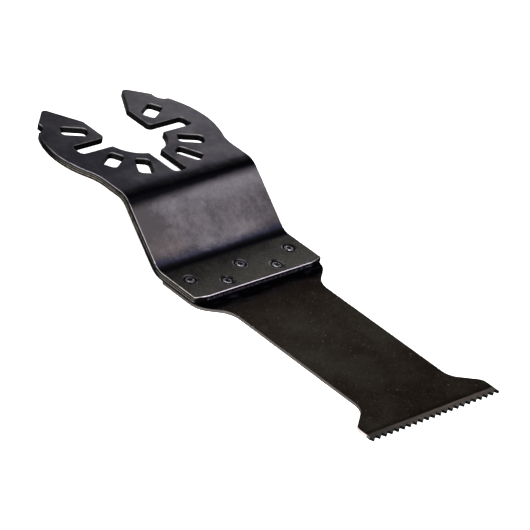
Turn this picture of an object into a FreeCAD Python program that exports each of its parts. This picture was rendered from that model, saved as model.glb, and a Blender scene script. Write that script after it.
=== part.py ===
# Plunge-cut saw blade for an oscillating multi-tool.
# A stamped and twice-bent steel shank carries a thin saw blade, which is spot-welded under its
# front flange, and a strip of harder steel with the teeth is butt-welded to the blade's front edge.
# Millimetres. The origin is the centre of the arbor mouth, on the face that seats against the tool.
# +X runs across the blade, the teeth point along -Y, and +Z points at the tool.
import FreeCAD, Part
import math
import os

# Sheet sizes; the shank is as wide as the saw's cut
BLADE_WIDTH = 31.2
BLADE_THICKNESS = 0.6
SHANK_THICKNESS = 1.25
SHANK_WIDTH = BLADE_WIDTH

# Arbor head: a disc in two halves, each an arc of the same radius on its own centre, and
# overhanging the web by the same amount on both sides
HEAD_RADIUS = 15.1
HEAD_OVERHANG = 2.4
WAIST_RADIUS = 8.0

# Horns on either side of the mouth
MOUTH_WIDTH = 10.7
HORN_BEND_Y = 7.6
HORN_LEAN_DEG = 32.5
HORN_OUTER_DEG = 42.7
HORN_TIP_RADIUS = 0.85
HORN_BEND_RADIUS = 1.2
HORN_WEDGE = 0.6
MOUTH_CORNER_RADIUS = 1.0

# Round notch bitten out of the outside edge of each horn, its centre a little off the head's round
NOTCH_RADIUS = 1.8
NOTCH_ANGLE_DEG = 52.5
NOTCH_OUTSET = 0.9
NOTCH_LIP_RADIUS = 0.5

# Hub and the three slots for the drive pins
HUB_RADIUS = 6.25
SLOT_WIDTH = 2.84
SLOT_REACH = 13.3
SLOT_END_RADIUS = 0.8
HUB_CORNER_RADIUS = 0.4

# Oblong drive holes, on the same thirty-degree spacing as the slots
DRIVE_HOLE_PITCH_RADIUS = 10.9
DRIVE_HOLE_LENGTH = 4.85
DRIVE_HOLE_WIDTH = 2.75
DRIVE_HOLE_CORNER_RADIUS = 0.8
DRIVE_HOLE_ANGLES = (-120, -60, -30, 30, 60, 120)

# Offset bends between the head, the sloping web and the flange
WEB_ANGLE_DEG = 39.5
WEB_DROP = 9.2
UPPER_CREASE_Y = -15.8
BEND_INSIDE_RADIUS = 3.3

# Flange under which the blade is welded
FLANGE_LENGTH = 10.35
FLANGE_CORNER_ACROSS = 3.0
FLANGE_CORNER_DEPTH = 0.6
FLANGE_CORNER_RADIUS = 0.5

# Upper edges that the punch has rolled over; the small holes' rims are rolled less
ROLLED_EDGE_RADIUS = 0.3
HOLE_RIM_CHAMFER = 0.14

# Spot welds: a round crater with a raised middle
WELD_ROW_BACK = 5.6
WELD_ROW_SPACING = 3.15
WELD_PITCH = 12.1
WELD_CRATER_RADIUS = 1.4
WELD_CRATER_DEPTH = 0.16
WELD_WALL_RUN = 0.2
WELD_BUTTON_RADIUS = 0.56
WELD_BUTTON_HEIGHT = 0.11
WELD_BUTTON_RUN = 0.24

# Blade plan: its rear lies under the flange, and its reach is measured from the flange's front
BLADE_REAR_OVERLAP = 9.0
BLADE_REACH = 44.4
SHOULDER_GAP = 2.4
SHOULDER_CORNER_RADIUS = 4.0
SHOULDER_ANGLE_DEG = 52.0
SHOULDER_NECK_RADIUS = 4.2
NECK_WIDTH = 21.4
FLARE_ANGLE_DEG = 37.5
FLARE_LAND = 2.4
FLARE_CORNER_RADIUS = 1.8
FLARE_NECK_RADIUS = 3.3
REAR_CORNER_RADIUS = 0.6

# Toothed strip
STRIP_BODY = 0.8
TOOTH_HEIGHT = 0.68
TOOTH_PITCH = 1.467
FIRST_TIP_INSET = 0.35
TOOTH_TIP_FLAT = 0.08
TOOTH_FACE_RUN = 0.36
TOOTH_GULLET_FLAT = 0.16

# Reach of a cutting tool past the stock on every side
TRIM = 5.0

# Places that follow from the sizes above
UP = FreeCAD.Vector(0, 0, 1)
LOWER_CREASE_Y = UPPER_CREASE_Y - WEB_DROP / math.tan(math.radians(WEB_ANGLE_DEG))
FLANGE_TOP_Z = -WEB_DROP
FLANGE_FRONT_Y = LOWER_CREASE_Y - FLANGE_LENGTH
HEAD_CENTRE_X = SHANK_WIDTH / 2 + HEAD_OVERHANG - HEAD_RADIUS
WAIST_Y = -math.sqrt(HEAD_RADIUS ** 2 - (SHANK_WIDTH / 2 - HEAD_CENTRE_X) ** 2)
BLADE_TOP_Z = FLANGE_TOP_Z - SHANK_THICKNESS
BLADE_REAR_Y = FLANGE_FRONT_Y + BLADE_REAR_OVERLAP
SHOULDER_Y = FLANGE_FRONT_Y - SHOULDER_GAP
TOOTH_TIP_Y = FLANGE_FRONT_Y - BLADE_REACH
TOOTH_ROOT_Y = TOOTH_TIP_Y + TOOTH_HEIGHT
STRIP_WELD_Y = TOOTH_ROOT_Y + STRIP_BODY
FLARE_Y = STRIP_WELD_Y + FLARE_LAND
CUT_TOP_Z = TRIM
CUT_BOTTOM_Z = BLADE_TOP_Z - TRIM


def rounded_outline(corners):
    """Closed wire through (x, y, radius) corners, each rounded by a tangent arc."""
    points = [FreeCAD.Vector(x, y, 0) for x, y, radius in corners]
    starts, arcs, ends = [], [], []
    for i, (x, y, radius) in enumerate(corners):
        here = points[i]
        back = (points[i - 1] - here).normalize()
        ahead = (points[(i + 1) % len(points)] - here).normalize()
        half = back.getAngle(ahead) / 2
        if radius <= 0:
            starts.append(here)
            arcs.append(None)
            ends.append(here)
            continue
        run = radius / math.tan(half)
        bisector = (back + ahead).normalize()
        middle = here + bisector * (radius / math.sin(half) - radius)
        starts.append(here + back * run)
        ends.append(here + ahead * run)
        arcs.append(Part.Arc(starts[-1], middle, ends[-1]).toShape())
    edges = []
    for i in range(len(points)):
        if arcs[i]:
            edges.append(arcs[i])
        following = starts[(i + 1) % len(points)]
        if (following - ends[i]).Length > 1e-6:
            edges.append(Part.LineSegment(ends[i], following).toShape())
    return Part.Wire(edges)


def prism(wire, bottom, top):
    """Plan outline raised from one height to another."""
    face = Part.Face(wire)
    face.translate(UP * bottom)
    return face.extrude(UP * (top - bottom))


def cutter(wire):
    """Plan outline as an upright prism that passes right through the bent shank."""
    return prism(wire, CUT_BOTTOM_Z, CUT_TOP_Z)


def round_cutter(radius, x, y):
    """Upright cylinder that passes right through the bent shank."""
    foot = FreeCAD.Vector(x, y, CUT_BOTTOM_Z)
    return Part.makeCylinder(radius, CUT_TOP_Z - CUT_BOTTOM_Z, foot, UP)


def mirrored(corners):
    """Corners on the +X side, in order, closed by their mirror image."""
    return corners + [(-x, y, radius) for x, y, radius in reversed(corners)]


def bent_sheet():
    """Constant-thickness strip through both bends, wider than any plan outline."""
    half_turn = math.tan(math.radians(WEB_ANGLE_DEG) / 2)
    shift = SHANK_THICKNESS * half_turn
    outside = BEND_INSIDE_RADIUS + SHANK_THICKNESS
    reach = HEAD_RADIUS + TRIM
    front = FLANGE_FRONT_Y - TRIM
    section = [
        (reach, 0, 0),
        (UPPER_CREASE_Y, 0, outside),
        (LOWER_CREASE_Y, FLANGE_TOP_Z, BEND_INSIDE_RADIUS),
        (front, FLANGE_TOP_Z, 0),
        (front, BLADE_TOP_Z, 0),
        (LOWER_CREASE_Y + shift, BLADE_TOP_Z, outside),
        (UPPER_CREASE_Y + shift, -SHANK_THICKNESS, BEND_INSIDE_RADIUS),
        (reach, -SHANK_THICKNESS, 0),
    ]
    face = Part.Face(rounded_outline(section))
    stand_up = FreeCAD.Rotation(FreeCAD.Vector(1, 1, 1), 120)
    half = HEAD_CENTRE_X + HEAD_RADIUS + TRIM
    face.Placement = FreeCAD.Placement(FreeCAD.Vector(-half, 0, 0), stand_up)
    return face.extrude(FreeCAD.Vector(2 * half, 0, 0))


def horn_touch(side):
    """Where the straight outer edge of a horn leaves the round of the head."""
    lean = math.radians(HORN_OUTER_DEG)
    x = HEAD_CENTRE_X + HEAD_RADIUS * math.sin(lean)
    return FreeCAD.Vector(side * x, HEAD_RADIUS * math.cos(lean), 0)


def head_half(side):
    """One round of the head on its own centre, with the straight outer edge of its horn."""
    centre = FreeCAD.Vector(side * HEAD_CENTRE_X, 0, 0)
    touch = horn_touch(side)
    outward = touch - centre
    beyond = touch + FreeCAD.Vector(-outward.y, outward.x, 0) * side * HORN_WEDGE
    wedge = cutter(Part.makePolygon([centre, touch, beyond, centre]))
    return round_cutter(HEAD_RADIUS, centre.x, centre.y).fuse(wedge)


def plan_blank():
    """Plan of the shank before its mouth, slots and holes: head, waist, web and flange."""
    half = SHANK_WIDTH / 2
    strip = rounded_outline(mirrored([
        (half, WAIST_Y, 0),
        (half, FLANGE_FRONT_Y + FLANGE_CORNER_DEPTH, FLANGE_CORNER_RADIUS),
        (half - FLANGE_CORNER_ACROSS, FLANGE_FRONT_Y, FLANGE_CORNER_RADIUS),
    ]))
    bridge = rounded_outline(mirrored([(HEAD_CENTRE_X, HEAD_RADIUS, 0), (HEAD_CENTRE_X, -HEAD_RADIUS, 0)]))
    blank = cutter(strip).fuse(cutter(bridge))
    for side in (-1, 1):
        blank = blank.fuse(head_half(side))
    return blank.removeSplitter()


def upright_edges(solid, x, y, tolerance=0.05):
    """Straight edges parallel to Z that pass through (+x, y) or (-x, y)."""
    found = []
    for edge in solid.Edges:
        first, last = edge.Vertexes[0].Point, edge.Vertexes[-1].Point
        upright = math.hypot(first.x - last.x, first.y - last.y) < tolerance / 100
        if upright and abs(abs(first.x) - x) < tolerance and abs(first.y - y) < tolerance:
            found.append(edge)
    return found


def round_uprights(solid, x, y, radius):
    """Fillet of the mirrored pair of upright edges at (+-x, y)."""
    return solid.makeFillet(radius, upright_edges(solid, x, y))


def mouth_cut():
    """Open mouth between the horns, flaring towards the back of the head."""
    half = MOUTH_WIDTH / 2
    back_y = HEAD_RADIUS + TRIM
    flare = half + (back_y - HORN_BEND_Y) * math.tan(math.radians(HORN_LEAN_DEG))
    return cutter(rounded_outline(mirrored([
        (flare, back_y, 0),
        (half, HORN_BEND_Y, HORN_BEND_RADIUS),
        (half, 0, 0),
    ])))


def slot_cut(angle):
    """Drive slot from the hub outwards, turned from the -Y direction."""
    half = SLOT_WIDTH / 2
    slot = cutter(rounded_outline(mirrored([(half, 0, 0), (half, -SLOT_REACH, SLOT_END_RADIUS)])))
    slot.rotate(FreeCAD.Vector(), UP, angle)
    return slot


def hub_cut():
    """Half-round arbor seat below the side slots, with the mouth and the three slots joined on."""
    back = rounded_outline(mirrored([(HUB_RADIUS, HUB_RADIUS, 0), (HUB_RADIUS, 0, 0)]))
    cut = round_cutter(HUB_RADIUS, 0, 0).cut(cutter(back)).fuse(mouth_cut())
    for angle in (-90, 0, 90):
        cut = cut.fuse(slot_cut(angle))
    return cut.removeSplitter()


def drive_hole(angle):
    """Oblong hole with rounded corners, its long way pointing at the arbor centre."""
    inner = DRIVE_HOLE_PITCH_RADIUS - DRIVE_HOLE_LENGTH / 2
    outer = DRIVE_HOLE_PITCH_RADIUS + DRIVE_HOLE_LENGTH / 2
    half = DRIVE_HOLE_WIDTH / 2
    hole = cutter(rounded_outline(mirrored([
        (half, -inner, DRIVE_HOLE_CORNER_RADIUS),
        (half, -outer, DRIVE_HOLE_CORNER_RADIUS),
    ])))
    hole.rotate(FreeCAD.Vector(), UP, angle)
    return hole


def notch_centre(side):
    """Centre of the round notch, just outside the round of the head."""
    angle = math.radians(NOTCH_ANGLE_DEG)
    out = HEAD_RADIUS + NOTCH_OUTSET
    return FreeCAD.Vector(side * (HEAD_CENTRE_X + out * math.sin(angle)), out * math.cos(angle), 0)


def shank_plan():
    """Full plan of the shank as an upright prism, with every corner rounded."""
    plan = round_uprights(plan_blank(), SHANK_WIDTH / 2, WAIST_Y, WAIST_RADIUS).cut(hub_cut())
    for angle in DRIVE_HOLE_ANGLES:
        plan = plan.cut(drive_hole(angle))
    for side in (-1, 1):
        notch = notch_centre(side)
        plan = plan.cut(round_cutter(NOTCH_RADIUS, notch.x, notch.y))
    slot_half = SLOT_WIDTH / 2
    hub_corner = math.sqrt(HUB_RADIUS ** 2 - slot_half ** 2)
    plan = round_uprights(plan, MOUTH_WIDTH / 2, slot_half, MOUTH_CORNER_RADIUS)
    plan = round_uprights(plan, hub_corner, -slot_half, HUB_CORNER_RADIUS)
    plan = round_uprights(plan, slot_half, -hub_corner, HUB_CORNER_RADIUS)
    for x, y, radius in horn_corners():
        plan = round_uprights(plan, x, y, radius)
    return plan


def circle_crossings(centre_a, radius_a, centre_b, radius_b):
    """Both points where two circles cross."""
    gap = centre_b - centre_a
    along = (gap.Length ** 2 + radius_a ** 2 - radius_b ** 2) / (2 * gap.Length)
    across = math.sqrt(radius_a ** 2 - along ** 2)
    direction = FreeCAD.Vector(gap).normalize()
    normal = FreeCAD.Vector(-direction.y, direction.x, 0)
    foot = centre_a + direction * along
    return foot + normal * across, foot - normal * across


def horn_corners():
    """Tip and notch lips of a horn, with the radius of each."""
    head = FreeCAD.Vector(HEAD_CENTRE_X, 0, 0)
    lips = circle_crossings(head, HEAD_RADIUS, notch_centre(1), NOTCH_RADIUS)
    lean = math.radians(HORN_LEAN_DEG)
    heading = FreeCAD.Vector(math.sin(lean), math.cos(lean), 0)
    start = FreeCAD.Vector(MOUTH_WIDTH / 2, HORN_BEND_Y, 0)
    outward = (horn_touch(1) - head).normalize()
    tip = start + heading * ((HEAD_RADIUS - (start - head).dot(outward)) / heading.dot(outward))
    corners = [(tip.x, tip.y, HORN_TIP_RADIUS)]
    return corners + [(lip.x, lip.y, NOTCH_LIP_RADIUS) for lip in lips]


def drive_hole_centre(angle):
    """Middle of the drive hole that is turned by this angle from the -Y direction."""
    turn = math.radians(angle)
    return FreeCAD.Vector(math.sin(turn), -math.cos(turn), 0) * DRIVE_HOLE_PITCH_RADIUS


def top_edges(solid):
    """Edges all round the upper face, from the head over both bends to the flange front."""
    found = []
    probe = UP * (SHANK_THICKNESS / 50)
    for edge in solid.Edges:
        middle = edge.valueAt((edge.FirstParameter + edge.LastParameter) / 2)
        faces = solid.ancestorsOfType(edge, Part.Face)
        walls = [face for face in faces if abs(face.normalAt(0, 0).z) < 1e-6]
        is_top = not solid.isInside(middle + probe, 1e-6, True) and solid.isInside(middle - probe, 1e-6, True)
        if len(walls) == 1 and is_top:
            found.append(edge)
    return found


def is_hole_rim(edge):
    """True for an edge that belongs to one of the drive holes."""
    reach = DRIVE_HOLE_LENGTH / 2 + HOLE_RIM_CHAMFER
    middle = edge.BoundBox.Center
    return any(middle.distanceToPoint(drive_hole_centre(angle)) < reach for angle in DRIVE_HOLE_ANGLES)


def roll_upper_edges(shank):
    """Soft upper edges: round along the outline, mouth and slots, and bevelled at the drive holes."""
    edges = top_edges(shank)
    shank = shank.makeFillet(ROLLED_EDGE_RADIUS, [edge for edge in edges if not is_hole_rim(edge)])
    return shank.makeChamfer(HOLE_RIM_CHAMFER, [edge for edge in top_edges(shank) if is_hole_rim(edge)])


def weld_crater(x, y):
    """Ring-shaped hollow with a low button in the middle, cut into the flange top."""
    floor = -WELD_CRATER_DEPTH
    button = floor + WELD_BUTTON_HEIGHT
    clear = WELD_CRATER_DEPTH
    profile = [
        (0, clear),
        (WELD_CRATER_RADIUS + WELD_WALL_RUN, clear),
        (WELD_CRATER_RADIUS, 0),
        (WELD_CRATER_RADIUS - WELD_WALL_RUN, floor),
        (WELD_BUTTON_RADIUS + WELD_BUTTON_RUN, floor),
        (WELD_BUTTON_RADIUS, button),
        (0, button),
    ]
    wire = Part.makePolygon([FreeCAD.Vector(r, 0, z) for r, z in profile + profile[:1]])
    crater = Part.Face(wire).revolve(FreeCAD.Vector(), UP, 360)
    crater.translate(FreeCAD.Vector(x, y, FLANGE_TOP_Z))
    return crater


def weld_centres():
    """Three welds in the back row and two between them in the front row."""
    back_y = FLANGE_FRONT_Y + WELD_ROW_BACK
    centres = [(column * WELD_PITCH, back_y) for column in (-1, 0, 1)]
    front_y = back_y - WELD_ROW_SPACING
    return centres + [(column * WELD_PITCH, front_y) for column in (-0.5, 0.5)]


def arbor_shank():
    """Stamped shank: bent sheet trimmed to plan, edges rolled, welds dimpled."""
    shank = bent_sheet().common(shank_plan()).removeSplitter()
    shank = roll_upper_edges(shank)
    for x, y in weld_centres():
        shank = shank.cut(weld_crater(x, y))
    return shank


def blade_prism(wire):
    """Plan outline raised through the thickness of the blade."""
    return prism(wire, BLADE_TOP_Z - BLADE_THICKNESS, BLADE_TOP_Z)


def blade_plan():
    """Corners of the blade on the +X side, from its rear edge to the strip."""
    wide = BLADE_WIDTH / 2
    neck = NECK_WIDTH / 2
    step = wide - neck
    shoulder_fall = step / math.tan(math.radians(SHOULDER_ANGLE_DEG))
    flare_rise = step * math.tan(math.radians(FLARE_ANGLE_DEG))
    return [
        (wide, BLADE_REAR_Y, REAR_CORNER_RADIUS),
        (wide, SHOULDER_Y + shoulder_fall / 2, SHOULDER_CORNER_RADIUS),
        (neck, SHOULDER_Y - shoulder_fall / 2, SHOULDER_NECK_RADIUS),
        (neck, FLARE_Y + flare_rise, FLARE_NECK_RADIUS),
        (wide, FLARE_Y, FLARE_CORNER_RADIUS),
        (wide, STRIP_WELD_Y, 0),
    ]


def saw_blade():
    """Thin spring-steel blade with its narrow neck and flared front."""
    return blade_prism(rounded_outline(mirrored(blade_plan())))


def tooth_strip():
    """Hard-steel strip with raked teeth that lean towards -X, its end teeth cut off at the sides."""
    half = BLADE_WIDTH / 2
    first_tip_x = FIRST_TIP_INSET - half
    tooth_count = math.ceil((half - first_tip_x) / TOOTH_PITCH) + 1
    points = []
    for i in range(tooth_count):
        tip_x = first_tip_x + i * TOOTH_PITCH
        face_x = tip_x - TOOTH_FACE_RUN
        points += [
            FreeCAD.Vector(face_x, TOOTH_ROOT_Y, 0),
            FreeCAD.Vector(tip_x, TOOTH_TIP_Y, 0),
            FreeCAD.Vector(tip_x + TOOTH_TIP_FLAT, TOOTH_TIP_Y, 0),
            FreeCAD.Vector(face_x + TOOTH_PITCH - TOOTH_GULLET_FLAT, TOOTH_ROOT_Y, 0),
        ]
    ends = [FreeCAD.Vector(points[-1].x, STRIP_WELD_Y, 0), FreeCAD.Vector(points[0].x, STRIP_WELD_Y, 0)]
    row = blade_prism(Part.makePolygon(points + ends + points[:1]))
    width = rounded_outline(mirrored([(half, STRIP_WELD_Y, 0), (half, TOOTH_TIP_Y - TRIM, 0)]))
    return row.common(blade_prism(width))


def main():
    os.makedirs("parts", exist_ok=True)
    arbor_shank().exportStep("parts/arbor_shank.step")
    saw_blade().exportStep("parts/saw_blade.step")
    tooth_strip().exportStep("parts/tooth_strip.step")


main()
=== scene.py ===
import math

import bmesh
import bpy
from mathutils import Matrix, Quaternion, Vector


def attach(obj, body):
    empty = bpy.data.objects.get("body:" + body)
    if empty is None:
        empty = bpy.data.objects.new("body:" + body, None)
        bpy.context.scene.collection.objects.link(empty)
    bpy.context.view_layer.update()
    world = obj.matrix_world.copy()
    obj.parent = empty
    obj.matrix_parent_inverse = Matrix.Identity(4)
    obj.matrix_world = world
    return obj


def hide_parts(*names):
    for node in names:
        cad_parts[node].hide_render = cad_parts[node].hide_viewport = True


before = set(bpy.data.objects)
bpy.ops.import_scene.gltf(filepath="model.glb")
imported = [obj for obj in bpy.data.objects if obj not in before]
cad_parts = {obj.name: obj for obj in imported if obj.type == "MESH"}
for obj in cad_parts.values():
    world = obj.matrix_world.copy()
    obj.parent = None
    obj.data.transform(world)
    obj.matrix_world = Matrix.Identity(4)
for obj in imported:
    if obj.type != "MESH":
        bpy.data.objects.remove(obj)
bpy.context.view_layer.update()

# Arbor shank.
# One stamping of 1.25 mm steel: a slotted head, a sloping web and a flange, joined by two press
# bends. The punch rolls the upper edges over, and the whole stamping is then blackened in a salt bath.
MM = 0.001

# Sizes and places in millimetres, along the frame's own axes
SHANK_THICKNESS = 1.25
WEB_SLOPE = math.radians(39.5)
UPPER_CREASE_Y = -15.8
FLANGE_TOP_Z = -9.2
FLANGE_LENGTH = 10.35
LOWER_BEND_RADIUS = 3.3
UPPER_BEND_RADIUS = LOWER_BEND_RADIUS + SHANK_THICKNESS
SHANK_EDGE_BREAK = 0.06

# Where the upper face starts and ends each bend, going towards the teeth
LOWER_CREASE_Y = UPPER_CREASE_Y + FLANGE_TOP_Z / math.tan(WEB_SLOPE)
FLANGE_FRONT_Y = LOWER_CREASE_Y - FLANGE_LENGTH
UPPER_BEND_RUN = UPPER_BEND_RADIUS * math.tan(WEB_SLOPE / 2)
LOWER_BEND_RUN = LOWER_BEND_RADIUS * math.tan(WEB_SLOPE / 2)
UPPER_BEND_START = UPPER_CREASE_Y + UPPER_BEND_RUN
UPPER_BEND_END = UPPER_CREASE_Y - UPPER_BEND_RUN * math.cos(WEB_SLOPE)
LOWER_BEND_START = LOWER_CREASE_Y + LOWER_BEND_RUN * math.cos(WEB_SLOPE)
LOWER_BEND_END = LOWER_CREASE_Y - LOWER_BEND_RUN

# Spot welds on the flange: three in the back row and two between them in the front row
WELD_PITCH = 12.1
WELD_BACK_ROW_Y = FLANGE_FRONT_Y + 5.6
WELD_FRONT_ROW_Y = WELD_BACK_ROW_Y - 3.15
WELD_CENTRES = [(column * WELD_PITCH, WELD_BACK_ROW_Y) for column in (-1, 0, 1)]
WELD_CENTRES += [(column * WELD_PITCH, WELD_FRONT_ROW_Y) for column in (-0.5, 0.5)]

# Marks round a weld's middle, by radius. A band starts at its first number, is full from the second
# to the third, and ends at the fourth. An edge fades from its first number to its second.
SCORCH_EDGE = (0.36, 0.48)
BUTTON_BAND = (0.40, 0.52, 0.78, 0.90)
CRATER_FLOOR_EDGE = (1.06, 1.18)
CRATER_WALL_BAND = (1.16, 1.26, 1.44, 1.56)
SOOT_EDGE = (1.50, 1.68)

# Marks on the side walls, by depth under the upper face
UPPER_TEAR_BAND = (0.36, 0.40, 0.45, 0.49)
LOWER_TEAR_BAND = (0.74, 0.78, 0.85, 0.89)
HEAT_TINT_BAND = (0.42, 0.55, 0.80, 0.95)

# Marks on the rolled rims, by depth under the upper face; the front band also places a painted highlight
OUTER_RUB_BAND = (0.010, 0.025, 0.055, 0.085)
CREST_WEAR_BAND = (0.003, 0.008, 0.020, 0.028)
SHOULDER_WEAR_BAND = (0.046, 0.054, 0.078, 0.088)
FRONT_RUB_AND_HIGHLIGHT_BAND = (0.020, 0.035, 0.11, 0.14)

# Distance from the arbor's centre where the rims of the mouth, slots and holes end and the outline begins
INNER_RIMS_EDGE = (13.6, 14.6)

# Colours of the oxide where it is dark and light, of the painted shade at the bends, walls and front face, of
# the painted highlight on the front rim, and of what lies on it or shows through it
HEAD_DARK, HEAD_LIGHT = (0.066, 0.064, 0.082, 1), (0.190, 0.178, 0.195, 1)
WEB_DARK, WEB_LIGHT = (0.044, 0.039, 0.043, 1), (0.114, 0.103, 0.118, 1)
FLANGE_DARK, FLANGE_LIGHT = (0.040, 0.038, 0.037, 1), (0.144, 0.138, 0.126, 1)
WEB_BROWN = (0.120, 0.092, 0.086, 1)
UPPER_BEND_SHADE = (0.002, 0.002, 0.003, 1)
LOWER_BEND_BLUE_SHADE = (0.012, 0.012, 0.026, 1)
LOWER_BEND_SHADE = (0.008, 0.008, 0.009, 1)
WALL_BLACK_AND_SHADE = (0.004, 0.004, 0.004, 1)
TORN_STEEL = (0.145, 0.130, 0.110, 1)
FRONT_FACE_BLACK_AND_SHADE = (0.007, 0.007, 0.012, 1)
HEAT_TINT = (0.17, 0.145, 0.21, 1)
INNER_RIM_BLACK = (0.020, 0.019, 0.021, 1)
INNER_RIM_BARE = (0.15, 0.14, 0.135, 1)
HEAD_RIM_BARE = (0.22, 0.205, 0.20, 1)
WEB_RIM_BARE = (0.075, 0.070, 0.070, 1)
FLANGE_RIM_BARE = (0.34, 0.32, 0.32, 1)
FRONT_RIM_BARE_AND_HIGHLIGHT = (0.52, 0.46, 0.54, 1)
WELD_SOOT = (0.020, 0.020, 0.022, 1)
CRATER_BLACK = (0.004, 0.004, 0.005, 1)
CRATER_WALL_BARE = (0.30, 0.29, 0.32, 1)
BUTTON_BARE = (0.48, 0.46, 0.50, 1)
BUTTON_SCORCH = (0.020, 0.018, 0.030, 1)

# What the metal reflects at a glancing angle; with white, the flat faces would look pale from low down
EDGE_TINT = (0.45, 0.45, 0.45, 1)


def merged_copy(node):
    """The node's faces in a new bmesh, with its flat faces whole again."""
    same_point = 0.0005 * MM
    same_plane = math.radians(0.15)
    shape = bmesh.new()
    shape.from_mesh(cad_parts[node].data)
    bmesh.ops.remove_doubles(shape, verts=shape.verts, dist=same_point)
    bmesh.ops.dissolve_limit(shape, angle_limit=same_plane, verts=shape.verts, edges=shape.edges)
    return shape


def break_edges(shape, width, sharper_than):
    """A small round, this many millimetres wide, along every edge sharper than this many degrees."""
    limit = math.radians(sharper_than)
    edges = [e for e in shape.edges if e.is_manifold and e.calc_face_angle() > limit]
    bmesh.ops.bevel(shape, geom=edges, offset=width * MM, segments=2, profile=0.5,
                    affect="EDGES", clamp_overlap=True)


def add_piece(shape, name, node, depth_at, material):
    """Shows the shape in the node's place, with each point's depth below its upper face kept on it."""
    sharp_corner = math.radians(34)
    mesh = bpy.data.meshes.new(name)
    shape.to_mesh(mesh)
    shape.free()
    depth = mesh.attributes.new("depth", "FLOAT", "POINT")
    depth.data.foreach_set("value", [depth_at(vertex.co / MM) for vertex in mesh.vertices])
    mesh.shade_smooth()
    mesh.set_sharp_from_angle(angle=sharp_corner)
    mesh.materials.append(material)
    piece = bpy.data.objects.new(name, mesh)
    bpy.context.scene.collection.objects.link(piece)
    weighted = piece.modifiers.new("flat_faces", "WEIGHTED_NORMAL")
    weighted.keep_sharp = True
    weighted.weight = 100
    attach(piece, "root")
    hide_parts(node)


class Value:
    """One socket of a finish. Arithmetic on it adds Math nodes."""

    def __init__(self, finish, socket):
        self.finish = finish
        self.socket = socket

    def math(self, operation, *others):
        return self.finish.node("ShaderNodeMath", {"operation": operation}, dict(enumerate((self, *others))))

    def reflected(self, operation, other):
        return self.finish.node("ShaderNodeMath", {"operation": operation}, {0: other, 1: self})

    def __add__(self, other):
        return self.math("ADD", other)

    def __radd__(self, other):
        return self.math("ADD", other)

    def __sub__(self, other):
        return self.math("SUBTRACT", other)

    def __rsub__(self, other):
        return self.reflected("SUBTRACT", other)

    def __mul__(self, other):
        return self.math("MULTIPLY", other)

    def __rmul__(self, other):
        return self.math("MULTIPLY", other)

    def __truediv__(self, other):
        return self.math("DIVIDE", other)

    def __rtruediv__(self, other):
        return self.reflected("DIVIDE", other)

    def __abs__(self):
        return self.math("ABSOLUTE")

    def smaller(self, other):
        return self.math("MINIMUM", other)

    def rise(self, low, high):
        """0 below low and 1 above high, with a smooth step between them."""
        inputs = {"Value": self, "From Min": low, "From Max": high}
        return self.finish.node("ShaderNodeMapRange", {"interpolation_type": "SMOOTHSTEP"}, inputs)

    def fall(self, low, high):
        """1 below low and 0 above high."""
        return 1 - self.rise(low, high)

    def band(self, start, full, fading, end):
        """1 from full to fading, and 0 before start and past end."""
        return self.rise(start, full) * self.fall(fading, end)


class Finish:
    """A material whose nodes all come from one method."""

    def __init__(self, name):
        self.material = bpy.data.materials.new(name)
        self.material.use_nodes = True
        self.material.node_tree.nodes.clear()

    def node(self, kind, settings=None, inputs=None, output=0):
        """Adds a node, gives it its settings and then its inputs, and hands back one of its outputs."""
        made = self.material.node_tree.nodes.new(kind)
        for name, value in (settings or {}).items():
            setattr(made, name, value)
        for name, value in (inputs or {}).items():
            if isinstance(value, Value):
                self.material.node_tree.links.new(value.socket, made.inputs[name])
            else:
                made.inputs[name].default_value = value
        return Value(self, made.outputs[output]) if made.outputs else None

    def surface(self, **inputs):
        """Closes the material with one shader, its inputs named with underscores for spaces."""
        named = {name.replace("_", " "): value for name, value in inputs.items()}
        shader = self.node("ShaderNodeBsdfPrincipled", inputs=named)
        self.node("ShaderNodeOutputMaterial", inputs={"Surface": shader})
        return self.material


class SteelFinish(Finish):
    """Finish of a steel piece: a first colour, with coats and marks laid over it one by one."""

    def __init__(self, name):
        super().__init__(name)
        metres = self.node("ShaderNodeTexCoord", output="Object")
        self.place = self.vector("SCALE", {0: metres, "Scale": 1 / MM})
        self.across = self.axis(self.place, "X")
        self.along = self.axis(self.place, "Y")
        self.depth = self.node("ShaderNodeAttribute", {"attribute_name": "depth"}, output="Fac")
        self.colour = None

    def vector(self, operation, inputs, output="Vector"):
        return self.node("ShaderNodeVectorMath", {"operation": operation}, inputs, output)

    def axis(self, vector, name):
        return self.node("ShaderNodeSeparateXYZ", inputs={0: vector}, output=name)

    def stretched(self, across, along, up):
        """The place, with each of its directions multiplied by a number of its own."""
        return self.vector("MULTIPLY", {0: self.place, 1: (across, along, up)})

    def noise(self, place, scale, detail, roughness):
        """Cloudy pattern between 0 and 1; a larger scale has smaller clouds."""
        inputs = {"Vector": place, "Scale": scale, "Detail": detail, "Roughness": roughness}
        return self.node("ShaderNodeTexNoise", inputs=inputs)

    def blend(self, mask, below, above):
        """Colour that goes from below to above as the mask rises."""
        return self.node("ShaderNodeMix", {"data_type": "RGBA"}, {0: mask, 6: below, 7: above}, output=2)

    def coat(self, mask, colour):
        """Lays a colour over those before it, as strongly as the mask says."""
        self.colour = self.blend(mask, self.colour, colour)

    def metal(self, roughness, relief, height, strength):
        """Closes the finish as metal, with a relief of this height in millimetres."""
        inputs = {"Height": relief, "Distance": height * MM, "Strength": strength}
        normal = self.node("ShaderNodeBump", inputs=inputs)
        return self.surface(Base_Color=self.colour, Metallic=1.0, Roughness=roughness,
                            Specular_Tint=EDGE_TINT, Normal=normal)


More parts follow.
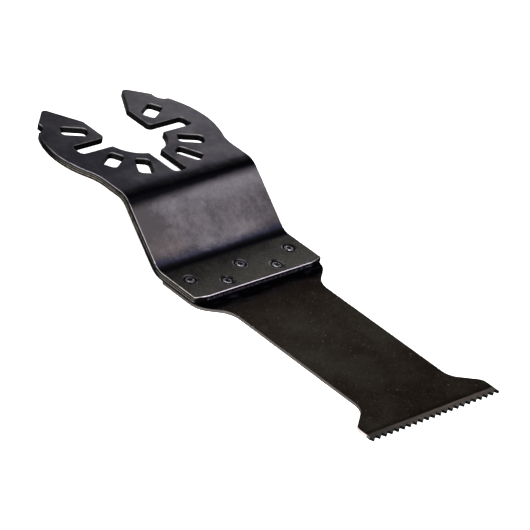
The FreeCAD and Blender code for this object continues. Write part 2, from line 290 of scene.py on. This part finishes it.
def shank_depth(point):
    """How far a point of the shank lies under the upper face of its bent sheet."""
    upper_centre = Vector((UPPER_BEND_START, -UPPER_BEND_RADIUS))
    lower_centre = Vector((LOWER_BEND_END, FLANGE_TOP_Z + LOWER_BEND_RADIUS))
    here = Vector((point.y, point.z))
    down_web = Vector((-math.cos(WEB_SLOPE), -math.sin(WEB_SLOPE)))
    out_of_web = Vector((-math.sin(WEB_SLOPE), math.cos(WEB_SLOPE)))
    if here.x > upper_centre.x:
        return -here.y
    if here.x < lower_centre.x:
        return FLANGE_TOP_Z - here.y
    if (here - upper_centre).dot(down_web) < 0:
        return UPPER_BEND_RADIUS - (here - upper_centre).length
    if (here - lower_centre).dot(down_web) > 0:
        return (here - lower_centre).length - LOWER_BEND_RADIUS
    return -(here - Vector((UPPER_CREASE_Y, 0))).dot(out_of_web)


class ShankFinish(SteelFinish):
    """Salt-bath black on the stamping, with what pressing, shearing, welding and handling left on it, and
    with painted light and shade on its head, web, bends, walls and front rim.
    """

    def __init__(self):
        super().__init__("black_oxide_with_painted_light")
        self.cloud = self.noise(self.place, 0.13, 3.0, 0.6)
        self.mottle = self.noise(self.place, 0.7, 3.0, 0.6)
        self.grain = self.noise(self.place, 3.2, 2.0, 0.7)
        self.streak = self.noise(self.stretched(3.4, 3.4, 0.5), 1.0, 3.0, 0.7)
        from_arbor = self.vector("LENGTH", {0: self.place}, output="Value")
        self.outline = from_arbor.rise(*INNER_RIMS_EDGE)
        facing_up = self.axis(self.node("ShaderNodeTexCoord", output="Normal"), "Z")
        self.wall = abs(facing_up).fall(0.50, 0.72) * self.depth.rise(0.05, 0.10)

    def speckle(self, clouds, mottles, grains):
        """Uneven tone about 0, of large, middling and fine patches in these strengths."""
        return (self.cloud - 0.5) * clouds + (self.mottle - 0.5) * mottles + (self.grain - 0.5) * grains

    def head_oxide_and_painted_light(self):
        """Cool grey oxide on the head, with painted light: lighter to the back right, standing in for the
        near back-right lamp's fall-off, and lighter again just before the upper bend.
        """
        before_bend = self.along.band(-14.5, -12.5, -10.5, -8.5)
        before_bend = before_bend * (0.28 + abs(self.across).fall(3, 12) * 0.30)
        # painted light: the tone rises towards the back right, where the near back-right lamp falls
        tone = (self.across + self.along) / 52 + 0.38 + before_bend + self.speckle(1.7, 0.7, 0.6)
        return self.blend(tone, HEAD_DARK, HEAD_LIGHT)

    def web_oxide_and_painted_light(self):
        """Purple-grey oxide on the web, with painted light: lighter in the middle, a painted sheen at the
        upper right, darker at the left, lighter at the middle of its foot, and browned lower down.
        """
        # painted light: the middle, the upper right and the middle of the foot are painted lighter and the
        # left darker, for how the lamps fall on the web
        middle = abs(self.across).fall(2, 17) * 0.30
        sheen = self.along.rise(-21.5, -18.0) * self.across.rise(-15, 4) * 0.55
        left = self.across.fall(-13, -3) * 0.28
        foot = self.along.fall(-25.5, -23.5) * (abs(self.across - 2).fall(3, 12) * 0.50 - 0.12)
        tone = middle + sheen - left + foot + 0.06 + self.speckle(1.6, 1.2, 0.8)
        browned = self.cloud.rise(0.52, 0.66) * self.along.fall(-25, -20) * 0.2
        return self.blend(browned, self.blend(tone, WEB_DARK, WEB_LIGHT), WEB_BROWN)

    def flange_oxide(self):
        """Grainy olive-grey on the flange, lighter towards the front."""
        towards_front = (self.along + self.speckle(6, 4, 0)).fall(-37, -28)
        tone = towards_front * 0.50 + 0.18 + self.speckle(0, 0.6, 1.7)
        return self.blend(tone, FLANGE_DARK, FLANGE_LIGHT)

    def lay_oxide_and_painted_light(self):
        """The three oxides, with the painted light on the head and web, each running into the next at a bend.
        """
        self.colour = self.head_oxide_and_painted_light()
        self.coat(self.along.fall(UPPER_BEND_END - 0.3, UPPER_BEND_START), self.web_oxide_and_painted_light())
        self.coat(self.along.fall(LOWER_BEND_END - 0.6, LOWER_BEND_END + 0.6), self.flange_oxide())

    def paint_bend_shade(self):
        """Painted shade: a dark band round each bend, standing in for the dark the bends reflect; the lower
        one has a blue fringe towards the web.
        """
        ragged = self.speckle(0, 0.36, 0.36)
        into_band = self.along + ragged - (self.cloud - 0.5) * 0.8
        out_of_band = self.along + ragged - self.across * 0.017
        # painted shade round the upper bend, then round the lower bend as a blue fringe and a near-black band
        upper = into_band.fall(UPPER_BEND_START - 1.9, UPPER_BEND_START + 0.7)
        self.coat(upper * out_of_band.rise(UPPER_BEND_END - 1.3, UPPER_BEND_END + 0.3), UPPER_BEND_SHADE)
        towards_web = self.along + ragged * 2 - abs(self.across) * 0.03
        off_flange = self.along.rise(LOWER_BEND_END - 0.7, LOWER_BEND_END + 0.9)
        fringe = towards_web.fall(LOWER_BEND_START - 0.9, LOWER_BEND_START + 1.0)
        self.coat(fringe * off_flange, LOWER_BEND_BLUE_SHADE)
        black = towards_web.fall(LOWER_BEND_START - 1.4, LOWER_BEND_START - 0.3)
        self.coat(black * off_flange, LOWER_BEND_SHADE)

    def shear_and_shade_walls(self):
        """Sheared walls painted near black, oxide and painted shade for the dark they reflect: torn along two
        lines on the outline, and heat-tinted at the flange's front.
        """
        # painted shade: the walls and the flange's front face are near black for the dark they reflect, over
        # the oxide's own black
        self.coat(self.wall, WALL_BLACK_AND_SHADE)
        torn = self.depth.band(*UPPER_TEAR_BAND) * 0.8 + self.depth.band(*LOWER_TEAR_BAND)
        torn = torn * self.streak.rise(0.34, 0.52) * self.outline * self.along.fall(-3, 2)
        torn = torn * self.along.rise(FLANGE_FRONT_Y + 0.6, FLANGE_FRONT_Y + 0.8)
        front = self.along.fall(FLANGE_FRONT_Y - 0.03, FLANGE_FRONT_Y + 0.10) * self.wall
        self.coat(torn * (1 - front), TORN_STEEL)
        self.coat(front * 0.8, FRONT_FACE_BLACK_AND_SHADE)
        self.coat(front * self.depth.band(*HEAT_TINT_BAND) * self.streak.rise(0.40, 0.62), HEAT_TINT)

    def rub_rims(self):
        """Rolled rims rubbed bare in patches: two thin lines inside, one wider line outside, and on the
        flange's front rim a line of rubbed steel and painted highlight.
        """
        inner = 1 - self.outline
        patches = self.mottle.rise(0.25, 0.55)
        self.coat(self.depth.rise(0.020, 0.032) * inner * (1 - self.wall), INNER_RIM_BLACK)
        worn = (self.depth.band(*CREST_WEAR_BAND) + self.depth.band(*SHOULDER_WEAR_BAND)) * inner
        rubbed = self.depth.band(*OUTER_RUB_BAND) * self.outline
        on_flange = self.along.fall(LOWER_BEND_END - 0.5, LOWER_BEND_END + 1.0)
        on_web = self.along.fall(UPPER_BEND_END, UPPER_BEND_START)
        on_web = on_web * self.along.rise(LOWER_BEND_START - 0.5, LOWER_BEND_START + 1.0)
        bare = self.blend(self.outline, INNER_RIM_BARE, HEAD_RIM_BARE)
        bare = self.blend(on_flange, bare, FLANGE_RIM_BARE)
        bare = self.blend(on_web, bare, WEB_RIM_BARE)
        self.coat((rubbed + worn) * patches, bare)
        # the flange's front rim: rubbed bare, and painted lilac-white as a highlight where the front right
        # lamp reflects
        front_rim = self.along.fall(FLANGE_FRONT_Y + 0.30, FLANGE_FRONT_Y + 0.42)
        self.coat(front_rim * self.depth.band(*FRONT_RUB_AND_HIGHLIGHT_BAND), FRONT_RIM_BARE_AND_HIGHLIGHT)

    def from_nearest_weld(self):
        """Distance to the nearest weld's middle, seen from above."""
        plan = self.stretched(1, 1, 0)
        nearest = None
        for x, y in WELD_CENTRES:
            reach = self.vector("DISTANCE", {0: plan, 1: (x, y, 0)}, output="Value")
            nearest = reach.smaller(nearest) if nearest else reach
        return nearest

    def mark_welds(self):
        """Soot round each weld, a patchy bare wall, a black floor, and a bare button with a dark middle."""
        from_weld = self.from_nearest_weld()
        upper_face = self.depth.fall(0.3, 0.4)
        patchy = self.noise(self.place, 0.62, 1.0, 0.5).rise(0.40, 0.56)
        self.coat(from_weld.fall(*SOOT_EDGE) * upper_face * 0.7, WELD_SOOT)
        self.coat(from_weld.band(*CRATER_WALL_BAND) * patchy * upper_face, CRATER_WALL_BARE)
        self.coat(from_weld.fall(*CRATER_FLOOR_EDGE) * upper_face, CRATER_BLACK)
        self.coat(from_weld.band(*BUTTON_BAND) * self.grain.rise(0.38, 0.54) * upper_face, BUTTON_BARE)
        self.coat(from_weld.fall(*SCORCH_EDGE) * upper_face, BUTTON_SCORCH)

    def finished(self):
        self.lay_oxide_and_painted_light()
        self.paint_bend_shade()
        self.shear_and_shade_walls()
        self.rub_rims()
        self.mark_welds()
        roughness = 0.31 + (self.mottle - 0.5) * 0.10 + self.wall * 0.2
        pits = self.grain * 0.6 + self.mottle * 0.4
        return self.metal(roughness, pits, height=0.02, strength=0.5)


shank = merged_copy("arbor_shank")
break_edges(shank, SHANK_EDGE_BREAK, sharper_than=40)
add_piece(shank, "shank", "arbor_shank", shank_depth, ShankFinish().finished())

# Saw blade.
# Thin spring steel with a narrow neck, spot-welded under the flange. Its brown-black coating is flat
# and finely speckled, with the flange's shadow painted on in front of it, and ground off the ends of the
# flare.
BLADE_TOP_Z = FLANGE_TOP_Z - SHANK_THICKNESS
BLADE_THICKNESS = 0.6
BLADE_HALF_WIDTH = 15.6
BLADE_REACH = 44.4
BLADE_EDGE_BREAK = 0.05
TOOTH_HEIGHT = 0.68
STRIP_BODY = 0.8
FLARE_LAND = 2.4
TOOTH_ROOT_Y = FLANGE_FRONT_Y - BLADE_REACH + TOOTH_HEIGHT
STRIP_WELD_Y = TOOTH_ROOT_Y + STRIP_BODY
FLARE_Y = STRIP_WELD_Y + FLARE_LAND

# Stretch of the blade that is lighter, by place, and the middle of its side wall, by depth
LIGHTER_STRETCH = (-76, -62, -52, -40)
SIDE_WALL_BAND = (0.03, 0.10, 0.50, 0.56)

BLADE_DARK, BLADE_LIGHT = (0.017, 0.011, 0.008, 1), (0.051, 0.045, 0.038, 1)
BLADE_FLECK = (0.17, 0.16, 0.15, 1)
BLADE_PAINTED_SHADOW = (0.010, 0.010, 0.014, 1)
SHADOW_BLACK, SHADOW_SMEAR = (0.002, 0.002, 0.003, 1), (0.018, 0.018, 0.026, 1)
SEAM_DARK = (0.008, 0.007, 0.006, 1)
SIDE_COATED, SIDE_GROUND = (0.058, 0.052, 0.048, 1), (0.34, 0.31, 0.30, 1)


def blade_depth(point):
    """How far a point of the blade or of its toothed strip lies under their upper face."""
    return BLADE_TOP_Z - point.z


def blade_finish():
    """Brown-black coating with light flecks, darker at the welded seam, and with a painted shadow, faintly
    smeared bluish, in front of the flange.
    """
    f = SteelFinish("blade_coating_with_painted_shadow")
    cloud = f.noise(f.place, 0.11, 3.0, 0.6)
    grain = f.noise(f.place, 3.2, 3.0, 0.75)
    fleck = f.noise(f.place, 3.6, 0.0, 0.5)
    smear = f.noise(f.stretched(0.25, 1.2, 1), 1.0, 2.0, 0.6)

    tone = 0.30 + f.along.band(*LIGHTER_STRETCH) * 0.26 + (cloud - 0.5) * 1.5 + (grain - 0.5) * 2.0
    f.colour = f.blend(tone, BLADE_DARK, BLADE_LIGHT)
    f.coat(fleck.rise(0.76, 0.82) * 0.7, BLADE_FLECK)
    # painted shadow of the flange: darker in front of it, then near black with faint bluish smears right at
    # its front
    towards_flange = f.along + (cloud - 0.5) * 5
    f.coat(towards_flange.rise(-45.0, -39.0) * 0.5, BLADE_PAINTED_SHADOW)
    f.coat(towards_flange.rise(-40.8, -39.2), f.blend(smear.rise(0.55, 0.70), SHADOW_BLACK, SHADOW_SMEAR))
    f.coat(f.along.fall(STRIP_WELD_Y + 0.33, STRIP_WELD_Y + 1.03) * 0.6, SEAM_DARK)

    side = f.depth.band(*SIDE_WALL_BAND)
    flare_end = abs(f.across).rise(BLADE_HALF_WIDTH - 0.4, BLADE_HALF_WIDTH - 0.2)
    flare_end = flare_end * f.along.fall(FLARE_Y + 0.33, FLARE_Y + 0.83)
    f.coat(side, f.blend(flare_end, SIDE_COATED, SIDE_GROUND))
    roughness = 0.43 + (grain - 0.5) * 0.2 - side * 0.06
    return f.metal(roughness, grain, height=0.02, strength=0.45)


blade = merged_copy("saw_blade")
break_edges(blade, BLADE_EDGE_BREAK, sharper_than=40)
add_piece(blade, "blade", "saw_blade", blade_depth, blade_finish())

# Toothed strip.
# Harder steel, butt-welded along the front of the blade and then ground and toothed, so it is
# lighter than the blade and shows fine lines along its length.
STRIP_EDGE_BREAK = 0.03
STRIP_DARK, STRIP_LIGHT = (0.118, 0.099, 0.088, 1), (0.190, 0.163, 0.147, 1)
STRIP_LEFT_END = (0.070, 0.062, 0.056, 1)
TOOTH_WALL_SHADE = (0.003, 0.003, 0.003, 1)


def strip_finish():
    """Ground steel with fine lines, darker towards one end, and painted shade on the tooth walls between the
    teeth.
    """
    f = SteelFinish("tooth_steel")
    lines = f.noise(f.stretched(0.25, 7.0, 1), 1.0, 3.0, 0.6)
    f.colour = f.blend(lines.rise(0.35, 0.65), STRIP_DARK, STRIP_LIGHT)
    f.coat(f.across.fall(-18, 2), STRIP_LEFT_END)
    # painted shade: the teeth's walls are painted near black
    tooth_wall_shade_mask = f.depth.rise(0.002, 0.010) * f.along.fall(TOOTH_ROOT_Y + 0.03, TOOTH_ROOT_Y + 0.23)
    f.coat(tooth_wall_shade_mask, TOOTH_WALL_SHADE)
    return f.metal(0.40 + (lines - 0.5) * 0.2, lines, height=0.01, strength=0.4)


strip = merged_copy("tooth_strip")
break_edges(strip, STRIP_EDGE_BREAK, sharper_than=25)
add_piece(strip, "toothed_strip", "tooth_strip", blade_depth, strip_finish())

# Floor and studio light.
# A pale matt table under two large soft lights, overhead and at the front left. Four small ones at
# the front right, back right and back left are what the web, the flat faces and the rims reflect.
FLOOR_Z = (BLADE_TOP_Z - BLADE_THICKNESS) * MM
FLOOR_REACH = 3.0
LIT_POINT = Vector((0, -35, -5)) * MM
TABLE_WHITE = (0.92, 0.92, 0.92, 1)
STUDIO_WHITE = (0.95, 0.96, 1.0, 1)
STUDIO_GLOW = 0.10

floor_mesh = bpy.data.meshes.new("floor")
corners = [(x * FLOOR_REACH, y * FLOOR_REACH, FLOOR_Z) for x, y in ((-1, -1), (1, -1), (1, 1), (-1, 1))]
floor_mesh.from_pydata(corners, [], [(0, 1, 2, 3)])
floor_mesh.materials.append(Finish("pale_table").surface(Base_Color=TABLE_WHITE, Roughness=0.9))
floor = bpy.data.objects.new("floor", floor_mesh)
bpy.context.scene.collection.objects.link(floor)


def soft_light(name, towards, distance, size, power):
    """Square area light in that direction from the middle of the object, facing it."""
    light = bpy.data.lights.new(name, "AREA")
    light.shape = "SQUARE"
    light.size = size
    light.energy = power
    lamp = bpy.data.objects.new(name, light)
    direction = Vector(towards).normalized()
    lamp.location = LIT_POINT + direction * distance
    lamp.rotation_euler = direction.to_track_quat("Z", "Y").to_euler()
    bpy.context.scene.collection.objects.link(lamp)


soft_light("overhead", (-0.28, -0.22, 1.0), distance=1.2, size=2.5, power=49.0)
soft_light("left_side", (-0.75, -0.55, 0.42), distance=1.2, size=1.3, power=70.0)
soft_light("front_right", (0.639, -0.42, 0.684), distance=0.9, size=0.42, power=1.1)
soft_light("back_right", (0.72, 0.62, 0.27), distance=0.32, size=0.10, power=0.06)
soft_light("back_left", (-0.48, 0.60, 0.64), distance=0.9, size=0.30, power=1.0)
soft_light("back_low", (0.62, 0.77, 0.07), distance=0.9, size=0.15, power=0.09)

world = bpy.data.worlds.new("studio")
world.use_nodes = True
background = world.node_tree.nodes["Background"]
background.inputs["Color"].default_value = STUDIO_WHITE
background.inputs["Strength"].default_value = STUDIO_GLOW
bpy.context.scene.world = world

bpy.context.scene.view_settings.view_transform = "Standard"
bpy.context.scene.view_settings.look = "None"

# Camera.
# A long lens at the photograph's angle, a little over half a metre away to the front left and above,
# and rolled about its own axis so that the blade runs down to the right.
CAMERA_PLACE = Vector((-373.871, -352.983, 279.562)) * MM
CAMERA_AIM = Vector((-1.703, -38.776, -5.0)) * MM
CAMERA_ROLL = math.radians(12.958)
LENS_LENGTH = 219.84
SENSOR_WIDTH = 36.0
NEAREST_SEEN = 0.01

camera_data = bpy.data.cameras.new("camera")
camera_data.lens = LENS_LENGTH
camera_data.sensor_width = SENSOR_WIDTH
camera_data.clip_start = NEAREST_SEEN
camera = bpy.data.objects.new("camera", camera_data)
level = (CAMERA_AIM - CAMERA_PLACE).to_track_quat("-Z", "Y")
camera.rotation_euler = (level @ Quaternion((0, 0, 1), CAMERA_ROLL)).to_euler()
camera.location = CAMERA_PLACE
bpy.context.scene.collection.objects.link(camera)
bpy.context.scene.camera = camera
